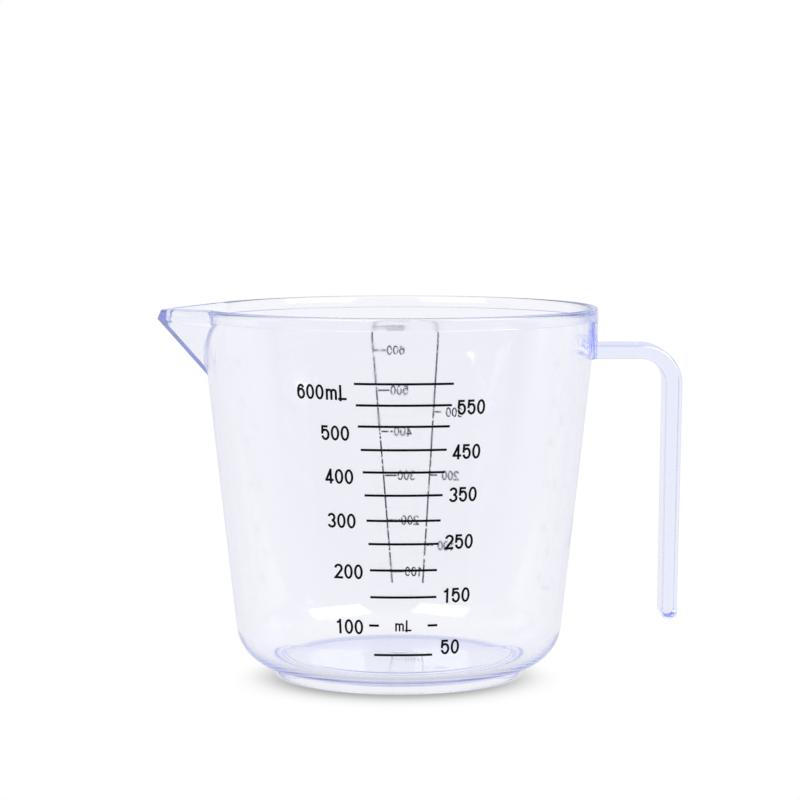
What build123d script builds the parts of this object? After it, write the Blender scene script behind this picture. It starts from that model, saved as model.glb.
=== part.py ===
from build123d import *
from math import cos, degrees, radians, sin, sqrt, tan
import os

# A clear moulded measuring jug for mixing resin, with a pouring spout and an open handle.
# Millimetres. The origin is on the table, under the middle of the foot. The spout points
# along -X, the handle along +X, and the printed millilitre scale faces -Y.

# Cup
cup_height = 105.0
rim_radius = 56.5
band_height = 3.5
band_stand = 0.5
wall_angle = 6.27
wall_thickness = 1.7

# Base
base_thickness = 2.0
heel_radius = 12.7
heel_slope = 16.0
heel_reach = 9.85
floor_step = 1.0
floor_dome = 0.5
floor_inset = 0.4
foot_width = 2.2
foot_height = 2.3
foot_draft = 0.3
foot_seat = 0.2
gate_radius = 2.0
gate_height = 0.8

# Pouring spout
spout_reach = 12.1
spout_width = 44.0
spout_wall = 1.5
keel_drop = 16.3
lip_drop = 0.8
nose_setback = 1.3
wedge_overlap_share = 1.2
channel_overlap_share = 1.45

# Handle
pad_drop = 11.0
pad_low_width = 21.0
pad_top_width = 31.0
arm_thickness = 4.0
arm_width = 15.0
arm_reach = 80.1
bend_inner_radius = 7.2
bend_outer_radius = 11.2
grip_thickness = 4.8
grip_end_thickness = 4.4
grip_lean = 0.9
grip_end_height = 16.2
grip_end_round = 1.9
handle_edge_round = 1.0

# Printed scales
ink_thickness = 0.1
line_stroke = 0.64
digit_height = 4.1
digit_width_share = 0.59
digit_pitch_share = 0.68
digit_stroke_share = 0.155
unit_m_width_share = 0.78
unit_m_height_share = 0.74
unit_l_width_share = 0.5
longest_line = 26.9
scale_angle = 1.5
unit_height_share = 0.75
unit_gap = 1.2
rear_stroke = 0.5
rear_digit_height = 2.9
rear_digit_pitch_share = 0.66
rear_tick_length = 3.6
near_number_gap = 0.55
far_number_gap = 1.7
rear_short_tick_length = 2.3
rear_rule_low_height = 18.7
rear_rule_high_height = 93.1

# Shapes of the digits: shares of a digit's height or width, and where the strokes start
# and how far they turn
one_flag_share = 0.25
two_hook_start_angle = 175
two_hook_sweep_angle = -215
three_upper_share = 0.92
three_sweep_angle = 255
three_lower_start_angle = -165
four_post_share = 0.17
four_bar_share = 0.25
five_bowl_share = 0.31
five_flag_share = 0.85
five_bowl_start_angle = -165
five_bowl_sweep_angle = 300
six_bowl_share = 0.29
six_back_start_angle = 35
six_back_sweep_angle = 165

# Cutting tools run past what they cut by this much
overrun = 5.0

# The heights of the front lines, as shares of the cup's height, and their lengths, as
# shares of the longest line, from 50 to 600 millilitres
line_steps = [50, 100, 150, 200, 250, 300, 350, 400, 450, 500, 550, 600]
line_height_shares = [0.124, 0.202, 0.277, 0.348, 0.417, 0.478, 0.544, 0.604, 0.662, 0.7225, 0.777, 0.832]
line_length_shares = [0.588, 0.69, 0.667, 0.676, 0.705, 0.744, 0.784, 0.823, 0.862, 0.922, 0.962, 1.0]
dash_length_share = 0.1

# Where the middle of each front number lies, as a share of the cup's height
left_number_shares = {"600": 0.809, "500": 0.704, "400": 0.5915, "300": 0.476, "200": 0.343, "100": 0.197}
right_number_shares = {"550": 0.7705, "450": 0.6555, "350": 0.544, "250": 0.4205, "150": 0.2795, "50": 0.143}

# The gap between the end of each front line and its number
left_number_gaps = {"600": 2.1, "500": 2.4, "400": 2.6, "300": 3.0, "200": 1.95, "100": 1.65}
right_number_gaps = {"550": 1.6, "450": 1.65, "350": 1.75, "250": 1.8, "150": 1.5, "50": 2.35}

# The rear scale: two ruled lines lean towards each other, each with its own ticks and
# numbers. Each rule gives the turn from the back of the jug at its top and at its foot.
near_rule_angles = (-8.7, -2.5)
far_rule_angles = (12.8, 9.1)
near_rear_shares = {"600": 0.8436, "500": 0.7287, "400": 0.611, "300": 0.485, "200": 0.357, "100": 0.21}
far_rear_shares = {"300": 0.668, "200": 0.487, "100": 0.2865}

os.makedirs("parts", exist_ok=True)

# Sizes worked out from the named ones
band_base = cup_height - band_height
wall_top_radius = rim_radius - band_stand
taper = tan(radians(wall_angle))
heel_rise = tan(radians(heel_slope))
inner_offset = wall_thickness / cos(radians(wall_angle))
foot_radius = wall_top_radius - band_base * taper - heel_reach
floor_radius = foot_radius - floor_inset
heel_seat_radius = foot_radius + foot_seat
floor_top = foot_height + base_thickness + floor_step
floor_underside = foot_height + floor_step
foot_inner_radius = foot_radius - foot_width


def wall_radius(height):
    return wall_top_radius - (band_base - height) * taper


def corner_height(seat_height, offset):
    # Height at which the heel's line meets the wall's line, set in by the offset
    reach = wall_radius(0) - offset - heel_seat_radius
    return (reach * heel_rise + seat_height) / (1 - taper * heel_rise)


# The jug's outer form and its cavity, as two turned solids
outer_corner = corner_height(foot_height, 0)
inner_seat = foot_height + base_thickness / cos(radians(heel_slope))
inner_corner = corner_height(inner_seat, inner_offset)
heel_top = outer_corner + heel_radius * tan(radians((90 - wall_angle - heel_slope) / 2))

with BuildPart() as outer_form:
    with BuildSketch(Plane.XZ):
        with BuildLine():
            Polyline(
                (0, foot_height),
                (heel_seat_radius, foot_height),
                (wall_radius(outer_corner), outer_corner),
                (wall_top_radius, band_base),
                (0, band_base),
                close=True,
            )
        make_face()
        heel_corner = vertices().sort_by_distance((wall_radius(outer_corner), 0, outer_corner))[0]
        fillet(heel_corner, radius=heel_radius)
    revolve(axis=Axis.Z)

with BuildPart() as cavity:
    with BuildSketch(Plane.XZ):
        with BuildLine():
            dome = ThreePointArc(
                (-floor_radius, floor_top),
                (0, floor_top + floor_dome),
                (floor_radius, floor_top),
            )
            Polyline(
                dome @ 1,
                (heel_seat_radius, inner_seat),
                (wall_radius(inner_corner) - inner_offset, inner_corner),
                (wall_radius(cup_height + overrun) - inner_offset, cup_height + overrun),
                (-floor_radius, cup_height + overrun),
                dome @ 0,
            )
        make_face()
        inner_point = (wall_radius(inner_corner) - inner_offset, 0, inner_corner)
        fillet(vertices().sort_by_distance(inner_point)[0], radius=heel_radius - base_thickness)
        with Locations((-rim_radius / 2, cup_height / 2)):
            Rectangle(rim_radius, cup_height * 2, mode=Mode.SUBTRACT)
    revolve(axis=Axis.Z)

# The spout's channel and its outside are the same three-sided wedge, one set in from the
# other: a point at the tip, a flat top, and a keel line that falls to the wall
tip_x = -(rim_radius + spout_reach)
crease_x = -sqrt(rim_radius**2 - (spout_width / 2) ** 2)
keel_foot = band_base - keel_drop
keel_x = -wall_radius(keel_foot)
side_run = Vector(crease_x - tip_x, spout_width / 2, 0)
keel_run = Vector(keel_x - tip_x, 0, -keel_drop)
side_normal = keel_run.cross(side_run).normalized()
channel_set_in = spout_wall / abs(side_normal.X)


def spout_wedge(point_x, overlap):
    # The wedge reaches into the cup by the overlap, a share of its length
    with BuildPart() as wedge:
        with BuildSketch(Plane.XY.offset(band_base)) as top:
            with BuildLine():
                Polyline(
                    (point_x, 0),
                    (point_x + side_run.X * overlap, side_run.Y * overlap),
                    (point_x + side_run.X * overlap, -side_run.Y * overlap),
                    close=True,
                )
            make_face()
        keel_end = Vertex(point_x + keel_run.X * overlap, 0, band_base + keel_run.Z * overlap)
        loft(sections=[top.sketch.face(), keel_end])
    return wedge.part


channel_x = tip_x + channel_set_in
outer_wedge = spout_wedge(tip_x, wedge_overlap_share)
with BuildPart() as channel:
    add(spout_wedge(channel_x, channel_overlap_share))
    extrude(faces().sort_by(Axis.Z)[-1], amount=band_height + overrun)

# Cup wall, from the heel up to the rim band, open where the spout joins it
with BuildPart() as cup_wall:
    add(outer_form.part)
    add(cavity.part, mode=Mode.SUBTRACT)
    split(bisect_by=Plane.XY.offset(heel_top), keep=Keep.TOP)
    add(channel.part, mode=Mode.SUBTRACT)

# Base: the rounded heel and the floor, raised a step over the foot and slightly domed
with BuildPart() as cup_base:
    add(outer_form.part)
    add(cavity.part, mode=Mode.SUBTRACT)
    split(bisect_by=Plane.XY.offset(heel_top), keep=Keep.BOTTOM)
    with BuildSketch(Plane.XZ):
        with BuildLine():
            recess = ThreePointArc(
                (-foot_inner_radius, floor_underside),
                (0, floor_underside + floor_dome),
                (foot_inner_radius, floor_underside),
            )
            Polyline(recess @ 1, (foot_inner_radius, 0), (-foot_inner_radius, 0), recess @ 0)
        make_face()
        with Locations((-foot_radius / 2, 0)):
            Rectangle(foot_radius, cup_height, mode=Mode.SUBTRACT)
    revolve(axis=Axis.Z, mode=Mode.SUBTRACT)

# Foot ring that the jug stands on
with BuildPart() as foot_ring:
    with BuildSketch(Plane.XZ):
        with BuildLine():
            Polyline(
                (foot_inner_radius, 0),
                (foot_radius - foot_draft, 0),
                (foot_radius, foot_height),
                (foot_inner_radius, foot_height),
                close=True,
            )
        make_face()
    revolve(axis=Axis.Z)

# Gate mark: the stub left under the floor where the mould was filled
with BuildPart() as gate_mark:
    with BuildSketch(Plane.XY.offset(floor_underside + floor_dome - gate_height)):
        Circle(gate_radius)
    extrude(amount=gate_height)
    add(cup_base.part, mode=Mode.SUBTRACT)

# Rim band, which stands proud of the wall and runs out round the spout to its tip
with BuildPart() as rim_band:
    with BuildSketch(Plane.XY.offset(band_base)):
        Circle(rim_radius)
        with BuildLine():
            Polyline(
                (tip_x, 0),
                (crease_x, spout_width / 2),
                (crease_x, -spout_width / 2),
                close=True,
            )
        make_face()
    extrude(amount=band_height)
    add(cavity.part, mode=Mode.SUBTRACT)
    add(channel.part, mode=Mode.SUBTRACT)
    with BuildSketch(Plane.XZ):
        with BuildLine():
            Polyline(
                (tip_x, band_base),
                (tip_x + nose_setback, cup_height - lip_drop),
                (crease_x, cup_height),
                (crease_x, cup_height + overrun),
                (tip_x - overrun, cup_height + overrun),
                (tip_x - overrun, band_base),
                close=True,
            )
        make_face()
    extrude(amount=spout_width, both=True, mode=Mode.SUBTRACT)

# Pouring spout: two flat sides that meet in a sloping keel
with BuildPart() as pour_spout:
    add(outer_wedge)
    add(channel.part, mode=Mode.SUBTRACT)
    add(outer_form.part, mode=Mode.SUBTRACT)

# Handle root: a flared pad that thickens the wall out to the rim's radius
pad_base = band_base - pad_drop
with BuildPart() as handle_root:
    with BuildSketch(Plane.XY.offset(pad_base)):
        Circle(rim_radius)
    extrude(amount=pad_drop)
    add(outer_form.part, mode=Mode.SUBTRACT)
    with BuildSketch(Plane.YZ):
        with BuildLine():
            Polyline(
                (-pad_low_width / 2, pad_base),
                (pad_low_width / 2, pad_base),
                (pad_top_width / 2, band_base),
                (-pad_top_width / 2, band_base),
                close=True,
            )
        make_face()
    extrude(amount=rim_radius, mode=Mode.INTERSECT)

# Handle bar: out from the pad, round the bend and down to a free end
arm_top = pad_base + arm_thickness
bend_height = arm_top - bend_outer_radius
grip_inner_x = arm_reach - grip_thickness
end_outer_x = arm_reach - grip_lean - (grip_thickness - grip_end_thickness) / 2
end_inner_x = end_outer_x - grip_end_thickness
with BuildPart() as handle_bar:
    with BuildSketch(Plane.XZ):
        with BuildLine():
            start_low = (rim_radius - overrun, pad_base)
            inner_start = (grip_inner_x - bend_inner_radius, pad_base)
            low = Line(start_low, inner_start)
            inner_bend = RadiusArc(
                inner_start,
                (grip_inner_x, pad_base - bend_inner_radius),
                bend_inner_radius,
            )
            inner_side = Line(inner_bend @ 1, (end_inner_x, grip_end_height))
            end = Line(inner_side @ 1, (end_outer_x, grip_end_height))
            outer_side = Line(end @ 1, (arm_reach, bend_height))
            outer_bend = RadiusArc(
                outer_side @ 1,
                (arm_reach - bend_outer_radius, arm_top),
                -bend_outer_radius,
            )
            top = Line(outer_bend @ 1, (rim_radius - overrun, arm_top))
            Line(top @ 1, start_low)
        make_face()
        end_corners = vertices().group_by(Axis.Z)[0]
        fillet(end_corners, radius=grip_end_round)
    extrude(amount=arm_width / 2, both=True)
    side_edges = faces().sort_by(Axis.Y)[0].edges() + faces().sort_by(Axis.Y)[-1].edges()
    long_edges = side_edges.filter_by(lambda edge: edge.center().X > rim_radius - overrun / 2)
    fillet(long_edges, radius=handle_edge_round)
    with BuildSketch(Plane.XY.offset(pad_base - overrun)):
        Circle(rim_radius)
    extrude(amount=arm_thickness + 2 * overrun, mode=Mode.SUBTRACT)

# The arm takes in the bend, and the grip starts just below it
grip_top = bend_height - handle_edge_round
with BuildPart() as handle_arm:
    add(handle_bar.part)
    split(bisect_by=Plane.XY.offset(grip_top), keep=Keep.TOP)

with BuildPart() as handle_grip:
    add(handle_bar.part)
    split(bisect_by=Plane.XY.offset(grip_top), keep=Keep.BOTTOM)

# Ink: everything printed is cut from one thin film that lies on the outside of the wall
with BuildPart() as ink_film:
    with BuildSketch(Plane.XZ):
        with BuildLine():
            Polyline(
                (wall_radius(0), 0),
                (wall_radius(0) + ink_thickness, 0),
                (wall_top_radius + ink_thickness, band_base),
                (wall_top_radius, band_base),
                close=True,
            )
        make_face()
    revolve(axis=Axis.Z)
    split(bisect_by=Plane.XY.offset(heel_top / 2), keep=Keep.TOP)


def face_plane(turn, height):
    # A plane that stands just off the wall, facing out. The turn is in degrees to the
    # right, as seen from the front, or past the back where it is near 180.
    out = Vector(sin(radians(turn)), -cos(radians(turn)), 0)
    right = Vector(cos(radians(turn)), sin(radians(turn)), 0)
    origin = out * (wall_radius(height) + overrun / 2) + Vector(0, 0, height)
    return Plane(origin=origin, x_dir=right, z_dir=out)


def draw_zero(height, width, stroke):
    Ellipse(width / 2, height / 2)
    Ellipse(width / 2 - stroke, height / 2 - stroke, mode=Mode.SUBTRACT)


def draw_one(height, width, stroke):
    flag = height * one_flag_share
    with BuildLine() as pen:
        Line((stroke / 2, -height / 2), (stroke / 2, height / 2))
        Line((stroke / 2, height / 2 - stroke), (-width * one_flag_share, height / 2 - flag))
    trace(pen.line, line_width=stroke)


def draw_two(height, width, stroke):
    bowl = (width - stroke) / 2
    base = (stroke - height) / 2
    with BuildLine() as pen:
        hook = CenterArc((0, -base - bowl), bowl, two_hook_start_angle, two_hook_sweep_angle)
        Line(hook @ 1, (-bowl, base))
        Line((-width / 2, base), (width / 2, base))
    trace(pen.line, line_width=stroke)


def draw_three(height, width, stroke):
    bowl = (width - stroke) / 2
    rise = (height - stroke) / 4
    sweep = three_sweep_angle
    with BuildLine() as pen:
        EllipticalCenterArc(
            (0, rise), bowl * three_upper_share, rise, start_angle=-90, arc_size=sweep
        )
    trace(pen.line, line_width=stroke)
    with BuildLine() as pen:
        EllipticalCenterArc(
            (0, -rise), bowl, rise, start_angle=three_lower_start_angle, arc_size=sweep
        )
    trace(pen.line, line_width=stroke)


def draw_four(height, width, stroke):
    post = width * four_post_share
    bar = -height * four_bar_share
    with BuildLine() as pen:
        Line((post, -height / 2), (post, height / 2))
        Line((-width / 2, bar), (width / 2, bar))
        Line((post, height / 2 - stroke / 2), (-width / 2 + stroke / 2, bar))
    trace(pen.line, line_width=stroke)


def draw_five(height, width, stroke):
    bowl = (width - stroke) / 2
    drop = height * five_bowl_share
    top = (height - stroke) / 2
    with BuildLine() as pen:
        Line((-bowl, top), (bowl * five_flag_share, top))
        Line((-bowl * five_flag_share, height / 2), (-bowl, -stroke / 2))
        EllipticalCenterArc(
            (0, -top + drop),
            bowl,
            drop,
            start_angle=five_bowl_start_angle,
            arc_size=five_bowl_sweep_angle,
        )
    trace(pen.line, line_width=stroke)


def draw_six(height, width, stroke):
    bowl = (width - stroke) / 2
    drop = height * six_bowl_share
    top = (height - stroke) / 2
    with BuildLine() as pen:
        EllipticalCenterArc((0, -top + drop), bowl, drop, arc_size=360)
    trace(pen.line, line_width=stroke)
    with BuildLine() as pen:
        EllipticalCenterArc(
            (0, 0), bowl, top, start_angle=six_back_start_angle, arc_size=six_back_sweep_angle
        )
    trace(pen.line, line_width=stroke)


def draw_m(height, width, stroke):
    arch = (width - stroke) / 4
    spring = (height - stroke) / 2 - arch
    with BuildLine() as pen:
        Line((-2 * arch, -height / 2), (-2 * arch, height / 2))
    trace(pen.line, line_width=stroke)
    for middle in (-arch, arch):
        with BuildLine() as pen:
            crown = CenterArc((middle, spring), arch, 180, -180)
            Line(crown @ 1, (middle + arch, -height / 2))
        trace(pen.line, line_width=stroke)


def draw_l(height, width, stroke):
    with BuildLine() as pen:
        Line(((stroke - width) / 2, -height / 2), ((stroke - width) / 2, height / 2))
        Line((-width / 2, (stroke - height) / 2), (width / 2, (stroke - height) / 2))
    trace(pen.line, line_width=stroke)


glyphs = {
    "0": draw_zero,
    "1": draw_one,
    "2": draw_two,
    "3": draw_three,
    "4": draw_four,
    "5": draw_five,
    "6": draw_six,
}


def print_number(number, middle_turn, height, size, pitch):
    # The digits are pressed through the film, one by one, round the wall
    step = degrees(pitch / wall_radius(height))
    for place, digit in enumerate(number):
        turn = middle_turn + (place - (len(number) - 1) / 2) * step
        with BuildSketch(face_plane(turn, height)) as glyph:
            glyphs[digit](size, size * digit_width_share, size * digit_stroke_share)
        extrude(glyph.sketch, amount=-overrun)


def print_unit(middle_turn, height, size):
    # Millilitres: a small m and a large L on one baseline
    stroke = size * digit_stroke_share
    m_width = size * unit_m_width_share
    l_width = size * unit_l_width_share
    m_height = size * unit_m_height_share
    gap = stroke
    width = m_width + gap + l_width
    m_turn = middle_turn + degrees((m_width - width) / 2 / wall_radius(height))
    l_turn = middle_turn + degrees((width - l_width) / 2 / wall_radius(height))
    with BuildSketch(face_plane(m_turn, height - (size - m_height) / 2)) as letter_m:
        draw_m(m_height, m_width, stroke)
    extrude(letter_m.sketch, amount=-overrun)
    with BuildSketch(face_plane(l_turn, height)) as letter_l:
        draw_l(size, l_width, stroke)
    extrude(letter_l.sketch, amount=-overrun)


def print_line(middle_turn, height, length, stroke):
    # A level line is a short turn of the film
    arc = degrees(length / wall_radius(height))
    start = Plane.XZ.rotated((0, 0, middle_turn - 90 - arc / 2))
    low = height - stroke / 2
    high = height + stroke / 2
    with BuildSketch(start) as section:
        with BuildLine():
            Polyline(
                (wall_radius(low), low),
                (wall_radius(low) + ink_thickness, low),
                (wall_radius(high) + ink_thickness, high),
                (wall_radius(high), high),
                close=True,
            )
        make_face()
    revolve(section.sketch, axis=Axis.Z, revolution_arc=arc)


# Front scale lines, one each 50 millilitres. The line at 100 is two dashes with the unit
# between them.
with BuildPart() as front_scale_lines:
    for step, height_share, length_share in zip(line_steps, line_height_shares, line_length_shares):
        line_height = cup_height * height_share
        line_length = longest_line * length_share
        if step == 100:
            dash = longest_line * dash_length_share
            dash_turn = degrees((line_length - dash) / 2 / wall_radius(line_height))
            print_line(scale_angle - dash_turn, line_height, dash, line_stroke)
            print_line(scale_angle + dash_turn, line_height, dash, line_stroke)
        else:
            print_line(scale_angle, line_height, line_length, line_stroke)

# Front numbers: whole hundreds to the left of the lines, the fifties to the right
digit_pitch = digit_height * digit_pitch_share


def line_end_turn(number):
    place = line_steps.index(int(number))
    height = cup_height * line_height_shares[place]
    return degrees(longest_line * line_length_shares[place] / 2 / wall_radius(height))


def number_turn(number, height, gap, reach):
    # Turn from the end of the number's line to the middle of the number
    return line_end_turn(number) + degrees((gap + reach / 2) / wall_radius(height))


number_width = digit_pitch * 2 + digit_height * digit_width_share
unit_width = digit_height * (unit_m_width_share + unit_l_width_share + digit_stroke_share)
with BuildPart() as front_hundreds:
    for number, share in left_number_shares.items():
        number_height = cup_height * share
        shift = unit_width + unit_gap / 2 if number == "600" else 0
        gap = left_number_gaps[number] + shift
        turn = scale_angle - number_turn(number, number_height, gap, number_width)
        print_number(number, turn, number_height, digit_height, digit_pitch)
    add(ink_film.part, mode=Mode.INTERSECT)

with BuildPart() as front_fifties:
    for number, share in right_number_shares.items():
        number_height = cup_height * share
        width = number_width - digit_pitch * (3 - len(number))
        turn = scale_angle + number_turn(number, number_height, right_number_gaps[number], width)
        print_number(number, turn, number_height, digit_height, digit_pitch)
    add(ink_film.part, mode=Mode.INTERSECT)

# Unit marks: beside the highest number, and small between the two dashes
with BuildPart() as front_unit_marks:
    top_height = cup_height * left_number_shares["600"]
    top_turn = scale_angle - number_turn("600", top_height, left_number_gaps["600"], unit_width)
    print_unit(top_turn, top_height, digit_height)
    print_unit(scale_angle, cup_height * line_height_shares[1], digit_height * unit_height_share)
    add(ink_film.part, mode=Mode.INTERSECT)


def rear_turn(turn_from_back):
    # Turns on the back are given as the front view sees them, to the right of the middle
    return 180 - turn_from_back


def rule_turn(rule_angles, height):
    top_turn, low_turn = rule_angles
    share = (height - rear_rule_low_height) / (rear_rule_high_height - rear_rule_low_height)
    return low_turn + (top_turn - low_turn) * share


# Rear rules: two leaning lines that carry the second scale
with BuildPart() as rear_rules:
    for rule_angles in (near_rule_angles, far_rule_angles):
        top_x = wall_radius(rear_rule_high_height) * sin(radians(rule_angles[0]))
        low_x = wall_radius(rear_rule_low_height) * sin(radians(rule_angles[1]))
        with BuildSketch(Plane.XZ):
            with BuildLine():
                Line((low_x, rear_rule_low_height), (top_x, rear_rule_high_height))
            trace(line_width=rear_stroke)
        extrude(amount=-rim_radius - overrun)
    add(ink_film.part, mode=Mode.INTERSECT)

# Rear ticks, one for each rear number, starting on its rule
near_ticks = [(near_rule_angles, share, rear_tick_length) for share in near_rear_shares.values()]
far_ticks = [(far_rule_angles, share, rear_short_tick_length) for share in far_rear_shares.values()]
with BuildPart() as rear_ticks:
    for rule_angles, share, length in near_ticks + far_ticks:
        tick_height = cup_height * share
        reach = (length + rear_stroke) / 2
        turn = rule_turn(rule_angles, tick_height) + degrees(reach / wall_radius(tick_height))
        print_line(rear_turn(turn), tick_height, length, rear_stroke)
    add(rear_rules.part, mode=Mode.SUBTRACT)

# Rear numbers, read from behind
rear_pitch = rear_digit_height * rear_digit_pitch_share
rear_number_width = rear_pitch * 2 + rear_digit_height * digit_width_share
with BuildPart() as rear_numbers:
    for rule_angles, shares, offset in (
        (near_rule_angles, near_rear_shares, rear_tick_length + near_number_gap),
        (far_rule_angles, far_rear_shares, rear_short_tick_length + far_number_gap),
    ):
        for number, share in shares.items():
            number_height = cup_height * share
            reach = offset + rear_number_width / 2
            turn = rule_turn(rule_angles, number_height) + degrees(reach / wall_radius(number_height))
            print_number(number, rear_turn(turn), number_height, rear_digit_height, rear_pitch)
    add(ink_film.part, mode=Mode.INTERSECT)

pieces = {
    "cup_wall": cup_wall,
    "cup_base": cup_base,
    "foot_ring": foot_ring,
    "gate_mark": gate_mark,
    "rim_band": rim_band,
    "pour_spout": pour_spout,
    "handle_root": handle_root,
    "handle_arm": handle_arm,
    "handle_grip": handle_grip,
    "front_scale_lines": front_scale_lines,
    "front_hundreds": front_hundreds,
    "front_fifties": front_fifties,
    "front_unit_marks": front_unit_marks,
    "rear_rules": rear_rules,
    "rear_ticks": rear_ticks,
    "rear_numbers": rear_numbers,
}
for name, piece in pieces.items():
    piece.part.label = name
    export_step(piece.part, f"parts/{name}.step")
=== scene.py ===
from math import asin, cos, degrees, pi, radians, sin, sqrt, tan

import bpy
import numpy as np
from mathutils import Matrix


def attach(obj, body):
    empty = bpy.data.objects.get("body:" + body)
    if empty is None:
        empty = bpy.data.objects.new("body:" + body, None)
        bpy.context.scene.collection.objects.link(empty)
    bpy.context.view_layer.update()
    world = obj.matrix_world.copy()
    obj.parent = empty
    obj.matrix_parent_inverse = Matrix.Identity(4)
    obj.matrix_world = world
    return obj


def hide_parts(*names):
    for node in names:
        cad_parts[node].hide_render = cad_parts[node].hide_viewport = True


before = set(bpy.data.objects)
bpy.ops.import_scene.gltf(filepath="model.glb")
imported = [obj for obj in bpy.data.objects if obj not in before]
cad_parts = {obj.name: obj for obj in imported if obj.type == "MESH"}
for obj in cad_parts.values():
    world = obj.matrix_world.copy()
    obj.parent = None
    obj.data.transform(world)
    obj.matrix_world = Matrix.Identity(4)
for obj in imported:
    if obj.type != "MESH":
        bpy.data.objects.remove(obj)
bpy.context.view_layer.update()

# Cup body. The jug is one injection moulding in clear, faintly blued polystyrene: a tapered
# wall, a rounded heel over a low foot ring, a band round the rim and a V spout. Its outside
# and its cavity are each one surface, found along rays that leave the jug's axis.
MM = 0.001
cup_height = 105.0
rim_radius = 56.5
band_height = 3.5
band_base = cup_height - band_height
wall_top_radius = 56.0
wall_angle = 6.27  # degrees from upright
wall_taper = tan(radians(wall_angle))
wall_thickness = 1.7
wall_set_in = wall_thickness / cos(radians(wall_angle))
ink_bond = 0.03  # the wall reaches this far into the print, so that no air shows between them
rim_edge_round = 0.86
band_edge = 0.14

foot_radius = 35.0
foot_inner_radius = 32.8
foot_height = 2.3
foot_draft = 0.3
foot_round = 0.45
recess_round = 0.3
floor_radius = 34.6
floor_dome = 0.5
floor_underside = 3.3
floor_top = 5.3
floor_step_reach = 1.2
floor_step_width = 3.6
floor_step_lift = 0.34
gate_radius = 2.0
gate_height = 0.8
heel_angle = radians(16)
heel_radius = 12.7
base_thickness = 2.0
heel_seat_radius = foot_radius + 0.2

spout_half_width = 22.0
spout_tip = rim_radius + 12.1
spout_crease = sqrt(rim_radius**2 - spout_half_width**2)
spout_run = spout_tip - spout_crease
spout_side = np.array([-spout_half_width, spout_run]) / np.hypot(spout_half_width, spout_run)
keel_drop = 16.3
keel_foot = wall_top_radius - keel_drop * wall_taper
keel_slope = (spout_tip - keel_foot) / keel_drop
channel_tip = spout_tip - 3.2  # the plastic is solid from here to the tip
lip_drop = 0.8
nose_setback = 1.3
keel_round = 0.5
channel_rounds = (0.8, 5.0)  # below the band, and in it
crease_round = 0.4
spout_spread = 0.75  # the sides are drawn no further round the cup than this slope
spout_rows_base = 84.0
row_gap = 0.03  # the least height between two rings of points


def wall_radius(height):
    return wall_top_radius - (band_base - height) * wall_taper


def soft_min(a, b, width):
    # The lower of two distances, with a small rounding where they meet
    close = np.clip(1 - np.abs(a - b) / width, 0, None)
    return np.minimum(a, b) - close**2 * width / 4


def soft_max(a, b, width):
    return -soft_min(-a, -b, width)


def spout_sides(x, y, height, tip, sharpness):
    # Distance outside the spout's two flat sides, which meet in the falling keel
    point = tip - keel_slope * np.clip(band_base - height, 0, None)
    near = spout_side[0] * (x + point) + spout_side[1] * y
    far = spout_side[0] * (x + point) - spout_side[1] * y
    sides = soft_max(near, far, sharpness)
    return np.where(np.abs(y) < -spout_spread * x, sides, 100.0)


def outside(radius, angle, height, cup_radius):
    x = radius * np.cos(angle)
    y = radius * np.sin(angle)
    spout = spout_sides(x, y, height, spout_tip, keel_round) - keel_round / 4
    nose_run = np.hypot(nose_setback, band_height - lip_drop)
    nose_out = (band_height - lip_drop) * (-x - spout_tip)
    nose = (nose_out + nose_setback * (height - band_base)) / nose_run
    spout = np.where(height > band_base, soft_max(spout, nose, crease_round), spout)
    return soft_min(radius - cup_radius, spout, crease_round)


def inside(radius, angle, height, cup_radius):
    x = radius * np.cos(angle)
    y = radius * np.sin(angle)
    channel_round = np.interp(height, (band_base - 1, band_base + 0.5), channel_rounds)
    channel = spout_sides(x, y, height, channel_tip, channel_round)
    return soft_min(radius - cup_radius, channel, crease_round)


def ray_radius(form, angle, height, cup_radius):
    low = np.full(np.shape(angle), 30.0)
    high = np.full(np.shape(angle), 80.0)
    for _ in range(40):
        middle = (low + high) / 2
        within = form(middle, angle, height, cup_radius) < 0
        low = np.where(within, middle, low)
        high = np.where(within, high, middle)
    return (low + high) / 2


def column_angles():
    # Closest at the spout's keel, close round the spout and wider elsewhere. The step
    # changes gradually, so that the smooth wall bends light evenly.
    turns = [0.0]
    while turns[-1] < 180:
        step = np.interp(turns[-1], (1, 3, 26, 34), (0.1, 0.36, 0.36, 1.12))
        turns.append(turns[-1] + step)
    half = np.array(turns) * 180 / turns[-1]
    return np.radians(np.concatenate([180 - half[:0:-1], 180 + half[:-1]]))


def bend(centre, radius, start, end, count):
    turn = np.radians(np.linspace(start, end, count))
    return [(centre[0] + radius * np.cos(t), centre[1] + radius * np.sin(t)) for t in turn]


def heel_bend(seat, offset, radius, count):
    # The arc that joins the heel's sloping line to the wall's line
    rise = tan(heel_angle)
    reach = wall_radius(0) - offset - heel_seat_radius
    corner_z = (reach * rise + seat) / (1 - wall_taper * rise)
    corner_r = wall_radius(corner_z) - offset
    run = radius * tan((pi / 2 - radians(wall_angle) - heel_angle) / 2)
    centre = (
        corner_r - run * cos(heel_angle) - radius * sin(heel_angle),
        corner_z - run * sin(heel_angle) + radius * cos(heel_angle),
    )
    return bend(centre, radius, degrees(heel_angle) - 90, -wall_angle, count)


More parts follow.
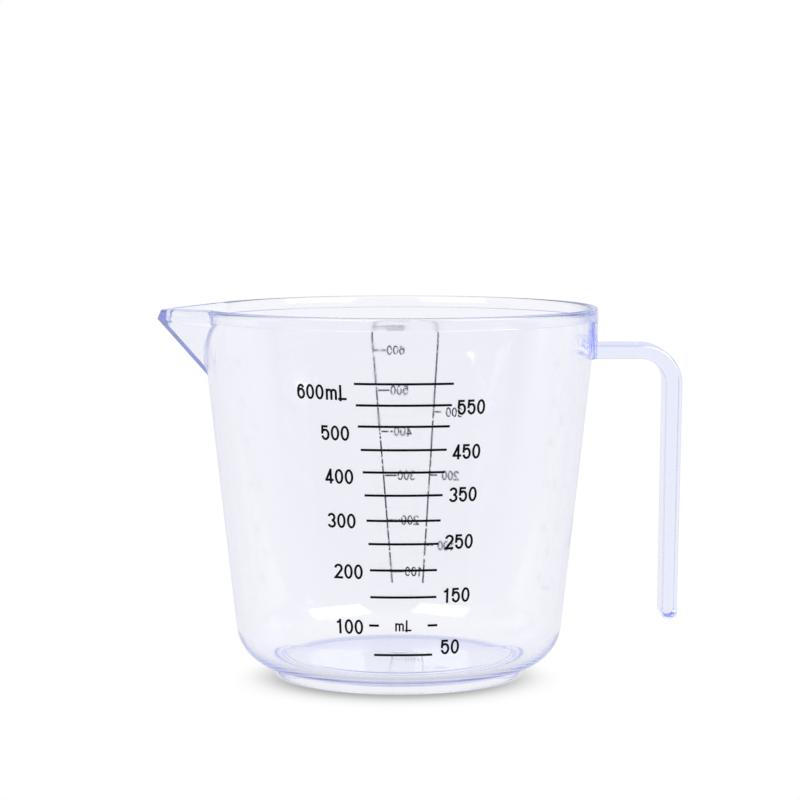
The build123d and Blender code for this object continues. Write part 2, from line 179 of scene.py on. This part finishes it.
# The outside below the spout: the gate stub, the recess, the foot ring, the heel, the wall
angles = column_angles()
gate_top = floor_underside + floor_dome
low_outside = []
for turn in np.radians(np.linspace(12, 88, 6)):
    low_outside.append((gate_radius * sin(turn), gate_top - gate_height * cos(turn)))
low_outside += [(gate_radius + 0.02, gate_top - 0.02), (gate_radius + 0.15, gate_top - 0.01)]
for radius in np.linspace(3, foot_inner_radius - 0.6, 6):
    dome = floor_dome * (1 - (radius / foot_inner_radius) ** 2)
    low_outside.append((radius, floor_underside + dome))
low_outside += bend(
    (foot_inner_radius - recess_round, floor_underside - recess_round), recess_round, 90, 0, 5
)
low_outside += bend((foot_inner_radius + foot_round, foot_round), foot_round, 180, 270, 6)
low_outside += bend(
    (foot_radius - foot_draft - foot_round, foot_round), foot_round, -90, -5, 7
)
low_outside += [
    (foot_radius - 0.06, foot_height - 0.25),
    (foot_radius, foot_height - row_gap),
    (foot_radius + 0.04, foot_height),
    (heel_seat_radius, foot_height + row_gap),
]
heel = heel_bend(foot_height, 0, heel_radius, 28)
low_outside += heel[:-1] + [(heel[-1][0] + ink_bond, heel[-1][1])]
low_outside += [(wall_radius(z) + ink_bond, z) for z in np.arange(16, spout_rows_base, 17)]

# The cavity below the spout: the wall, the heel, the soft step round the floor, the floor
inner_seat = foot_height + base_thickness / cos(heel_angle)
low_inside = [(wall_radius(z) - wall_set_in, z) for z in np.arange(80, 14, -16)]
low_inside += heel_bend(inner_seat, wall_set_in, heel_radius - base_thickness, 28)[::-1]
for share in np.linspace(0, 1, 9):
    rise = (1 - cos(pi * share)) / 2
    radius = heel_seat_radius + floor_step_reach - floor_step_width * share
    low = inner_seat + floor_step_lift
    low_inside.append((radius, low + (floor_top + row_gap - low) * rise))
for radius in np.linspace(floor_radius - 2.4, 1, 6):
    dome = floor_dome * (1 - (radius / floor_radius) ** 2)
    low_inside.append((radius, floor_top + dome))

# All rings of points in one order: up the outside, over the rim, down the cavity
rows = []
for radius, z in low_outside:
    rows.append((np.full_like(angles, radius), np.full_like(angles, z)))
for z in np.arange(spout_rows_base, band_base - band_edge - 0.05, 0.6):
    height = np.full_like(angles, z)
    rows.append((ray_radius(outside, angles, height, wall_radius(z)) + ink_bond, height))
under_band = ray_radius(outside, angles, np.full_like(angles, band_base - 0.02), wall_top_radius)
over_band = ray_radius(outside, angles, np.full_like(angles, band_base + 0.02), rim_radius)
for share in np.linspace(0, 1, 7):
    turn = pi * share
    blend = (1 - cos(turn)) / 2
    height = band_base + band_edge * (2 * share - 1) * 0.7
    rows.append((under_band * (1 - blend) + over_band * blend, np.full_like(angles, height)))


def lip_height(radius):
    # The lip falls a little from the crease to the nose of the spout
    x = -radius * np.cos(angles)
    return cup_height - lip_drop * np.clip(
        (x - spout_crease) / (spout_tip - nose_setback - spout_crease), 0, 1
    )


lip_outer = ray_radius(outside, angles, np.full_like(angles, cup_height - 1), rim_radius)
outer_lip = lip_height(lip_outer)
for share in np.linspace(0, 1, 10)[1:]:
    height = band_base + 0.12 + (outer_lip - rim_edge_round - band_base - 0.12) * share
    rows.append((ray_radius(outside, angles, height, rim_radius), height))
top_outer = rows[-1][0]
inner_cup = wall_radius(cup_height) - wall_set_in
top_inner = ray_radius(inside, angles, np.full_like(angles, cup_height), inner_cup)
inner_lip = lip_height(top_inner)
for turn in np.linspace(0, pi / 2, 7)[1:]:
    rows.append((
        top_outer - rim_edge_round * (1 - cos(turn)),
        outer_lip - rim_edge_round * (1 - sin(turn)),
    ))
for share in (0.3, 0.6):
    rows.append((
        (top_outer - rim_edge_round) * (1 - share) + (top_inner + rim_edge_round) * share,
        outer_lip * (1 - share) + inner_lip * share,
    ))
for turn in np.linspace(pi / 2, 0, 7):
    rows.append((
        top_inner + rim_edge_round * (1 - cos(turn)),
        inner_lip - rim_edge_round * (1 - sin(turn)),
    ))
inner_top = inner_lip - rim_edge_round
for share in np.linspace(0, 1, 36)[1:]:
    height = inner_top + (spout_rows_base - inner_top) * share
    cavity = wall_radius(height) - wall_set_in
    rows.append((ray_radius(inside, angles, height, cavity), height))
for radius, z in low_inside:
    rows.append((np.full_like(angles, radius), np.full_like(angles, z)))


def new_piece(name, points, faces):
    mesh = bpy.data.meshes.new(name)
    mesh.from_pydata(points, [], faces)
    piece = bpy.data.objects.new(name, mesh)
    bpy.context.scene.collection.objects.link(piece)
    return piece


def turned_piece(name, rings, low_centre, high_centre):
    # A closed skin over rings of points, with a fan at each end
    count = len(angles)
    points = [(0, 0, low_centre * MM)]
    for radius, height in rings:
        ring = np.stack([radius * np.cos(angles), radius * np.sin(angles), height], 1) * MM
        points += [tuple(p) for p in ring]
    points.append((0, 0, high_centre * MM))
    last = len(points) - 1
    faces = []
    for place in range(count):
        after = (place + 1) % count
        faces.append((0, 1 + after, 1 + place))
        top = 1 + (len(rings) - 1) * count
        faces.append((last, top + place, top + after))
    for ring in range(len(rings) - 1):
        low = 1 + ring * count
        high = low + count
        for place in range(count):
            after = (place + 1) % count
            faces.append((low + place, low + after, high + after, high + place))
    return new_piece(name, points, faces)


jug = turned_piece("jug", rows, gate_top - gate_height, floor_top + floor_dome)

# Handle. The same shot of plastic runs out of a flared pad under the band, through a level
# arm and one bend, into an upright grip with a free lower end. It is a flat bar with
# eased edges, made here as sections along its length and then joined to the cup.
pad_drop = 11.0
pad_base = band_base - pad_drop
pad_radius = rim_radius - 0.04
pad_low_half = 10.5
pad_top_half = 15.5
pad_edge_round = 1.1
arm_top = pad_base + 4.0
arm_reach = 80.1
bend_inner = 7.2
bend_outer = 11.2
grip_thickness = 4.8
grip_end_x = (74.6, 79.0)
grip_end_height = 16.2
grip_end_round = 1.9
bar_half_width = 7.5
bar_edge_round = 1.0


def bar_stations():
    # Pairs of points, inner side and outer side, and how much narrower the bar is there
    inner_x = arm_reach - grip_thickness
    pairs = []
    for x in np.linspace(55.3, inner_x - bend_inner, 8):
        pairs.append(((x, pad_base), (x, arm_top), 0))
    turns = np.radians(np.linspace(90, 0, 46))
    inner_centre = (inner_x - bend_inner, pad_base - bend_inner)
    outer_centre = (arm_reach - bend_outer, arm_top - bend_outer)
    for turn in turns:
        pairs.append((
            (inner_centre[0] + bend_inner * cos(turn), inner_centre[1] + bend_inner * sin(turn)),
            (outer_centre[0] + bend_outer * cos(turn), outer_centre[1] + bend_outer * sin(turn)),
            0,
        ))
    start_z = arm_top - bend_outer
    drops = list(np.linspace(0, 1, 20)[1:] * (start_z - grip_end_height - grip_end_round))
    straight_end = drops[-1]
    drops += [straight_end + grip_end_round * sin(t) for t in np.linspace(0, pi / 2, 12)[1:]]
    for drop in drops:
        share = drop / (start_z - grip_end_height)
        inner = inner_x + (grip_end_x[0] - inner_x) * share
        outer = arm_reach + (grip_end_x[1] - arm_reach) * share
        past = max(drop - straight_end, 0)
        tuck = grip_end_round - sqrt(max(grip_end_round**2 - past**2, 0))
        late = max(past - (grip_end_round - bar_edge_round), 0)
        narrow = bar_edge_round - sqrt(max(bar_edge_round**2 - late**2, 0))
        pairs.append(((inner + tuck, start_z - drop), (outer - tuck, start_z - drop), narrow))
    return pairs


def bar_piece(name):
    points = []
    loops = []
    for inner, outer, narrow in bar_stations():
        inner = np.array([inner[0], 0, inner[1]])
        outer = np.array([outer[0], 0, outer[1]])
        across = outer - inner
        thickness = np.linalg.norm(across)
        across /= thickness
        edge = min(bar_edge_round, thickness * 0.45)
        half_y = bar_half_width - narrow - edge
        half_t = thickness / 2 - edge
        loop = []
        for corner in range(4):
            sign_t = (1, 1, -1, -1)[corner]
            sign_y = (-1, 1, 1, -1)[corner]
            for turn in np.linspace(-90, 0, 9):
                angle = radians(turn + corner * 90)
                t = sign_t * half_t + edge * cos(angle)
                y = sign_y * half_y + edge * sin(angle)
                loop.append(len(points))
                middle = (inner + outer) / 2 + across * t + np.array([0, y, 0])
                points.append(tuple(middle * MM))
        loops.append(loop)
    faces = [tuple(loops[0]), tuple(loops[-1][::-1])]
    for low, high in zip(loops, loops[1:]):
        for place in range(len(low)):
            after = (place + 1) % len(low)
            faces.append((low[after], low[place], high[place], high[after]))
    return new_piece(name, points, faces)


def pad_piece(name):
    points = []
    loops = []
    start = pad_base + 0.02
    eased = [start + pad_edge_round * (1 - cos(t)) for t in np.linspace(0, pi / 2, 7)]
    for z in eased + list(np.linspace(start + pad_edge_round, band_base + 0.7, 14)[1:]):
        half = pad_low_half + (pad_top_half - pad_low_half) * (z - pad_base) / pad_drop
        late = max(pad_edge_round - (z - start), 0)
        tuck = pad_edge_round - sqrt(max(pad_edge_round**2 - late**2, 0))
        front = pad_radius - tuck
        back = wall_radius(min(z, band_base)) - 0.9
        reach = asin(min(half / front, 1))
        edge = pad_edge_round / front
        loop = []
        for turn in np.linspace(-90, 0, 7):
            angle = -reach + edge * (1 + sin(radians(turn)))
            loop.append((front - pad_edge_round * (1 - cos(radians(turn))), angle))
        loop += [(front, angle) for angle in np.linspace(-reach + edge, reach - edge, 26)[1:-1]]
        for turn in np.linspace(0, 90, 7):
            angle = reach - edge * (1 - sin(radians(turn)))
            loop.append((front - pad_edge_round * (1 - cos(radians(turn))), angle))
        loop += [(back, angle) for angle in np.linspace(reach, -reach, 24)]
        ids = []
        for radius, angle in loop:
            ids.append(len(points))
            points.append((radius * cos(angle) * MM, radius * sin(angle) * MM, z * MM))
        loops.append(ids)
    faces = [tuple(loops[0][::-1]), tuple(loops[-1])]
    for low, high in zip(loops, loops[1:]):
        for place in range(len(low)):
            after = (place + 1) % len(low)
            faces.append((low[place], low[after], high[after], high[place]))
    return new_piece(name, points, faces)


def join_to(body, addition):
    # One skin round both pieces, as they come out of the mould
    union = body.modifiers.new("join", "BOOLEAN")
    union.operation = "UNION"
    union.solver = "MANIFOLD"
    union.object = addition
    graph = bpy.context.evaluated_depsgraph_get()
    joined = bpy.data.meshes.new_from_object(body.evaluated_get(graph))
    body.modifiers.remove(union)
    body.data = joined
    bpy.data.objects.remove(addition)


join_to(jug, pad_piece("pad"))
join_to(jug, bar_piece("bar"))
jug.data.shade_smooth()
jug.data.set_sharp_from_angle(angle=radians(38))
weighted = jug.modifiers.new("weighted normals", "WEIGHTED_NORMAL")
weighted.keep_sharp = True


def linear(hex_colour):
    # An sRGB colour, as read off a swatch, in the renderer's linear units
    parts = [int(hex_colour[i:i + 2], 16) / 255 for i in (1, 3, 5)]
    return tuple(p / 12.92 if p <= 0.04045 else ((p + 0.055) / 1.055) ** 2.4 for p in parts) + (1,)


def add_node(tree, kind, settings=None, inputs=None, links=None):
    # One node with its settings, its fixed inputs and the sockets that feed it
    node = tree.nodes.new(kind)
    for key, value in (settings or {}).items():
        setattr(node, key, value)
    for key, value in (inputs or {}).items():
        node.inputs[key].default_value = value
    for key, socket in (links or {}).items():
        tree.links.new(socket, node.inputs[key])
    return node


def new_material(name):
    material = bpy.data.materials.new(name)
    material.use_nodes = True
    material.node_tree.nodes.clear()
    return material


# Clear injection-moulded polystyrene: glossy, a little wavy where it cooled, with fine rub
# marks that dull it in patches. The band round the rim is slightly satin. The blueing shows
# where light runs far through it, and a faint glow painted into its volume keeps the longest ways
# from going black.
polystyrene = new_material("Clear moulded polystyrene")
tree = polystyrene.node_tree
place = add_node(tree, "ShaderNodeTexCoord")
waves = add_node(
    tree,
    "ShaderNodeTexNoise",
    inputs={"Scale": 45.0, "Detail": 1.5},
    links={"Vector": place.outputs["Object"]},
)
ripple = add_node(
    tree,
    "ShaderNodeBump",
    inputs={"Strength": 0.12, "Distance": 0.0002},
    links={"Height": waves.outputs["Fac"]},
)
rubs = add_node(
    tree,
    "ShaderNodeTexNoise",
    inputs={"Scale": 160.0, "Detail": 4.0},
    links={"Vector": place.outputs["Object"]},
)
dulling = add_node(
    tree,
    "ShaderNodeMapRange",
    inputs={"From Min": 0.4, "From Max": 0.75, "To Min": 0.015, "To Max": 0.06},
    links={"Value": rubs.outputs["Fac"]},
)
height = add_node(tree, "ShaderNodeSeparateXYZ", links={"Vector": place.outputs["Object"]})
satin = add_node(
    tree,
    "ShaderNodeMapRange",
    inputs={"From Min": 0.1014, "From Max": 0.1018, "To Min": 0.0, "To Max": 0.06},
    links={"Value": height.outputs["Z"]},
)
dulling = add_node(
    tree,
    "ShaderNodeMath",
    settings={"operation": "ADD"},
    links={0: dulling.outputs["Result"], 1: satin.outputs["Result"]},
)
clear = add_node(
    tree,
    "ShaderNodeBsdfPrincipled",
    inputs={"Base Color": linear("#FFFFFF"), "Transmission Weight": 1.0, "IOR": 1.58},
    links={"Roughness": dulling.outputs["Value"], "Normal": ripple.outputs["Normal"]},
)
tint = add_node(
    tree, "ShaderNodeVolumeAbsorption", inputs={"Color": linear("#0061EB"), "Density": 12.5}
)
# Painted glow: the plastic's volume gives off a faint light of its own, so the longest paths inside
# it do not go dark.
painted_glow = add_node(tree, "ShaderNodeEmission", inputs={"Color": linear("#EBF1D0"), "Strength": 3.2})
# The blue absorption and the painted glow together fill the plastic's volume.
tint_and_painted_glow = add_node(
    tree, "ShaderNodeAddShader", links={0: tint.outputs["Volume"], 1: painted_glow.outputs["Emission"]}
)
add_node(
    tree,
    "ShaderNodeOutputMaterial",
    links={"Surface": clear.outputs["BSDF"], "Volume": tint_and_painted_glow.outputs["Shader"]},
)
jug.data.materials.clear()
jug.data.materials.append(polystyrene)
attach(jug, "root")
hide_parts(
    "cup_wall",
    "cup_base",
    "foot_ring",
    "gate_mark",
    "rim_band",
    "pour_spout",
    "handle_root",
    "handle_arm",
    "handle_grip",
)

# Front scale. Black pad-printed ink, solid and satin, laid on the outside of the wall. The
# film is thin, so its gloss follows the plastic and its edges stay crisp.
front_ink = new_material("Pad-printed black ink")
tree = front_ink.node_tree
place = add_node(tree, "ShaderNodeTexCoord")
grain = add_node(
    tree,
    "ShaderNodeTexNoise",
    inputs={"Scale": 2500.0, "Detail": 2.0},
    links={"Vector": place.outputs["Object"]},
)
tone = add_node(
    tree,
    "ShaderNodeMix",
    settings={"data_type": "RGBA"},
    inputs={"A": linear("#020202"), "B": linear("#0A0A0B")},
    links={"Factor": grain.outputs["Fac"]},
)
film = add_node(
    tree,
    "ShaderNodeBsdfPrincipled",
    inputs={"Roughness": 0.45, "IOR": 1.5, "Specular IOR Level": 0.1},
    links={"Base Color": tone.outputs["Result"]},
)
add_node(tree, "ShaderNodeOutputMaterial", links={"Surface": film.outputs["BSDF"]})
for name in ("front_scale_lines", "front_hundreds", "front_fifties", "front_unit_marks"):
    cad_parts[name].data.materials.clear()
    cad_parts[name].data.materials.append(front_ink)

# Rear scale. A second, finer print in dark blue-grey ink, worn and broken in places, on
# the outside of the wall opposite.
rear_ink = new_material("Worn blue-grey print")
tree = rear_ink.node_tree
place = add_node(tree, "ShaderNodeTexCoord")
grain = add_node(
    tree,
    "ShaderNodeTexNoise",
    inputs={"Scale": 1400.0, "Detail": 3.0},
    links={"Vector": place.outputs["Object"]},
)
tone = add_node(
    tree,
    "ShaderNodeMix",
    settings={"data_type": "RGBA"},
    inputs={"A": linear("#0C0E14"), "B": linear("#3A3F4C")},
    links={"Factor": grain.outputs["Fac"]},
)
wear = add_node(
    tree,
    "ShaderNodeTexNoise",
    inputs={"Scale": 900.0, "Detail": 3.0},
    links={"Vector": place.outputs["Object"]},
)
left_on = add_node(
    tree,
    "ShaderNodeMapRange",
    inputs={"From Min": 0.36, "From Max": 0.46},
    links={"Value": wear.outputs["Fac"]},
)
film = add_node(
    tree,
    "ShaderNodeBsdfPrincipled",
    inputs={"Roughness": 0.5, "IOR": 1.5, "Specular IOR Level": 0.1},
    links={"Base Color": tone.outputs["Result"], "Alpha": left_on.outputs["Result"]},
)
add_node(tree, "ShaderNodeOutputMaterial", links={"Surface": film.outputs["BSDF"]})
for name in ("rear_rules", "rear_ticks", "rear_numbers"):
    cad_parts[name].data.materials.clear()
    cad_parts[name].data.materials.append(rear_ink)

# Floor. A white paper sweep that the jug stands on. It is white wherever it is seen, with a
# soft contact shadow painted into its colour round the foot. The painted shadow follows how much
# the jug hides the floor and where the point lies: mostly a little in front of the foot, faint under
# the base, and weaker where it shows through the plastic. In its first reflection its colour is
# painted dimmer and bluer towards the front, where the room is dark.
floor_half = 6.0
corners = [(-1, -1), (1, -1), (1, 1), (-1, 1)]
floor = new_piece("floor", [(x * floor_half, y * floor_half, 0) for x, y in corners], [(0, 1, 2, 3)])
paper = new_material("White paper sweep with painted shadow")
tree = paper.node_tree
place = add_node(tree, "ShaderNodeTexCoord")
spread = add_node(
    tree, "ShaderNodeVectorMath", settings={"operation": "LENGTH"}, links={0: place.outputs["Object"]}
)
# Painted shadow: only a faint share under the base, the full amount outside the foot
under = add_node(
    tree,
    "ShaderNodeMapRange",
    settings={"interpolation_type": "SMOOTHSTEP"},
    inputs={"From Min": 0.0335, "From Max": 0.036, "To Min": 0.22, "To Max": 1.0},
    links={"Value": spread.outputs["Value"]},
)
# Painted shadow: strongest round a point a little in front of the foot, gone 50 mm from it
forward = add_node(
    tree,
    "ShaderNodeVectorMath",
    settings={"operation": "DISTANCE"},
    inputs={1: (-0.001, -0.012, 0)},
    links={0: place.outputs["Object"]},
)
painted_shadow_fade = add_node(
    tree,
    "ShaderNodeMapRange",
    settings={"interpolation_type": "SMOOTHSTEP"},
    inputs={"From Min": 0.025, "From Max": 0.05, "To Min": 1.0, "To Max": 0.0},
    links={"Value": forward.outputs["Value"]},
)
# Painted shadow: darker where the jug hides more of the floor
shade = add_node(
    tree, "ShaderNodeAmbientOcclusion", settings={"samples": 16}, inputs={"Distance": 0.03}
)
depth = add_node(
    tree,
    "ShaderNodeMapRange",
    inputs={"From Min": 0.1, "From Max": 0.75, "To Min": 1.0, "To Max": 0.0},
    links={"Value": shade.outputs["AO"]},
)
painted_shadow_amount = add_node(
    tree,
    "ShaderNodeMath",
    settings={"operation": "MULTIPLY"},
    links={0: depth.outputs["Result"], 1: under.outputs["Result"]},
)
painted_shadow_amount = add_node(
    tree,
    "ShaderNodeMath",
    settings={"operation": "MULTIPLY"},
    links={0: painted_shadow_amount.outputs["Value"], 1: painted_shadow_fade.outputs["Result"]},
)
route = add_node(tree, "ShaderNodeLightPath")
# The painted shadow is weaker where the floor is seen through the plastic
through = add_node(
    tree,
    "ShaderNodeMapRange",
    inputs={"From Min": 0.0, "From Max": 1.0, "To Min": 1.0, "To Max": 0.3},
    links={"Value": route.outputs["Transmission Depth"]},
)
painted_shadow_amount = add_node(
    tree,
    "ShaderNodeMath",
    settings={"operation": "MULTIPLY"},
    links={0: painted_shadow_amount.outputs["Value"], 1: through.outputs["Result"]},
)
# The paper's white, mixed towards a painted shadow grey
colour = add_node(
    tree,
    "ShaderNodeMix",
    settings={"data_type": "RGBA"},
    inputs={"A": linear("#FFFFFF"), "B": linear("#A8AAAA")},
    links={"Factor": painted_shadow_amount.outputs["Value"]},
)
# Painted reflection shade: where the floor is seen in a first reflection, its colour is darkened and
# blued towards the front
bounced = add_node(
    tree,
    "ShaderNodeMath",
    settings={"operation": "GREATER_THAN"},
    inputs={1: 0.5},
    links={0: route.outputs["Glossy Depth"]},
)
side = add_node(tree, "ShaderNodeSeparateXYZ", links={"Vector": place.outputs["Object"]})
front = add_node(
    tree,
    "ShaderNodeMapRange",
    settings={"interpolation_type": "SMOOTHSTEP"},
    inputs={"From Min": -0.15, "From Max": -0.04, "To Min": 1.0, "To Max": 0.25},
    links={"Value": side.outputs["Y"]},
)
bounced = add_node(
    tree,
    "ShaderNodeMath",
    settings={"operation": "MULTIPLY"},
    links={0: bounced.outputs["Value"], 1: front.outputs["Result"]},
)
first_only = add_node(
    tree,
    "ShaderNodeMapRange",
    inputs={"From Min": 1.0, "From Max": 2.0, "To Min": 1.0, "To Max": 0.0},
    links={"Value": route.outputs["Glossy Depth"]},
)
bounced = add_node(
    tree,
    "ShaderNodeMath",
    settings={"operation": "MULTIPLY"},
    links={0: bounced.outputs["Value"], 1: first_only.outputs["Result"]},
)
# The floor's colour, painted dimmer and bluer in its first reflection towards the front
painted_dim_reflection = add_node(
    tree,
    "ShaderNodeMix",
    settings={"data_type": "RGBA", "blend_type": "MULTIPLY"},
    inputs={"B": linear("#A6A8C5")},
    links={"Factor": bounced.outputs["Value"], "A": colour.outputs["Result"]},
)
glow = add_node(
    tree, "ShaderNodeEmission", inputs={"Strength": 1.0}, links={"Color": painted_dim_reflection.outputs["Result"]}
)
add_node(tree, "ShaderNodeOutputMaterial", links={"Surface": glow.outputs["Emission"]})
floor.data.materials.append(paper)

# Studio. A white backdrop wherever one looks straight through the plastic, and a dimmer
# room that shows only in reflections, brighter overhead.
world = bpy.data.worlds.new("studio")
bpy.context.scene.world = world
world.use_nodes = True
tree = world.node_tree
tree.nodes.clear()
path = add_node(tree, "ShaderNodeLightPath")
bounced = add_node(
    tree,
    "ShaderNodeMath",
    settings={"operation": "ADD"},
    links={0: path.outputs["Glossy Depth"], 1: path.outputs["Diffuse Depth"]},
)
bounced = add_node(
    tree,
    "ShaderNodeMath",
    settings={"operation": "GREATER_THAN"},
    inputs={1: 0.5},
    links={0: bounced.outputs["Value"]},
)
heading = add_node(tree, "ShaderNodeTexCoord")
split = add_node(tree, "ShaderNodeSeparateXYZ", links={"Vector": heading.outputs["Generated"]})
behind = add_node(
    tree,
    "ShaderNodeMapRange",
    settings={"interpolation_type": "SMOOTHSTEP"},
    inputs={"From Min": -0.1, "From Max": 1.0},
    links={"Value": split.outputs["Y"]},
)
overhead = add_node(
    tree,
    "ShaderNodeMapRange",
    settings={"interpolation_type": "SMOOTHSTEP"},
    inputs={"From Min": 0.3, "From Max": 0.9},
    links={"Value": split.outputs["Z"]},
)
lit = add_node(
    tree,
    "ShaderNodeMath",
    settings={"operation": "MAXIMUM"},
    links={0: behind.outputs["Result"], 1: overhead.outputs["Result"]},
)
room = add_node(
    tree,
    "ShaderNodeMix",
    settings={"data_type": "RGBA"},
    inputs={"A": linear("#9097D4"), "B": linear("#E5E7F7")},
    links={"Factor": lit.outputs["Value"]},
)
seen = add_node(
    tree,
    "ShaderNodeMix",
    settings={"data_type": "RGBA"},
    inputs={"A": linear("#FFFFFF")},
    links={"Factor": bounced.outputs["Value"], "B": room.outputs["Result"]},
)
sky = add_node(tree, "ShaderNodeBackground", links={"Color": seen.outputs["Result"]})
add_node(tree, "ShaderNodeOutputWorld", links={"Surface": sky.outputs["Background"]})


def softbox(name, turn, width, watts):
    # A softbox turned from the front to the right, in degrees, and aimed down at the cup
    lamp = bpy.data.lights.new(name, "AREA")
    lamp.shape = "RECTANGLE"
    lamp.size, lamp.size_y = width, softbox_height
    lamp.energy = watts
    holder = bpy.data.objects.new(name, lamp)
    away = softbox_distance * cos(softbox_rise)
    up = softbox_distance * sin(softbox_rise)
    holder.location = (away * sin(radians(turn)), -away * cos(radians(turn)), up)
    way = holder.location - type(holder.location)((0, 0, softbox_aim))
    holder.rotation_euler = way.to_track_quat("Z", "Y").to_euler()
    bpy.context.scene.collection.objects.link(holder)


softbox_height = 0.66
softbox_distance = 1.2
softbox_rise = radians(32)
softbox_aim = 0.03
softbox("softbox_right", 53, 0.95, 5)
softbox("softbox_left", -36.5, 0.85, 4)

# Camera. A long lens a little above the rim, level with the print.
camera = bpy.data.cameras.new("camera")
camera.sensor_width = 36
camera.lens = 130.69
camera.clip_end = 50
holder = bpy.data.objects.new("camera", camera)
holder.location = (0.00034, -0.82369, 0.15276)
holder.rotation_euler = (radians(84.8314), 0, 0)
bpy.context.scene.collection.objects.link(holder)
bpy.context.scene.camera = holder
bpy.context.scene.view_settings.view_transform = "Standard"

# Light is followed far, because it is caught for long in the keel and the rim
cycles = bpy.context.scene.cycles
cycles.max_bounces = cycles.glossy_bounces = cycles.transmission_bounces = 72
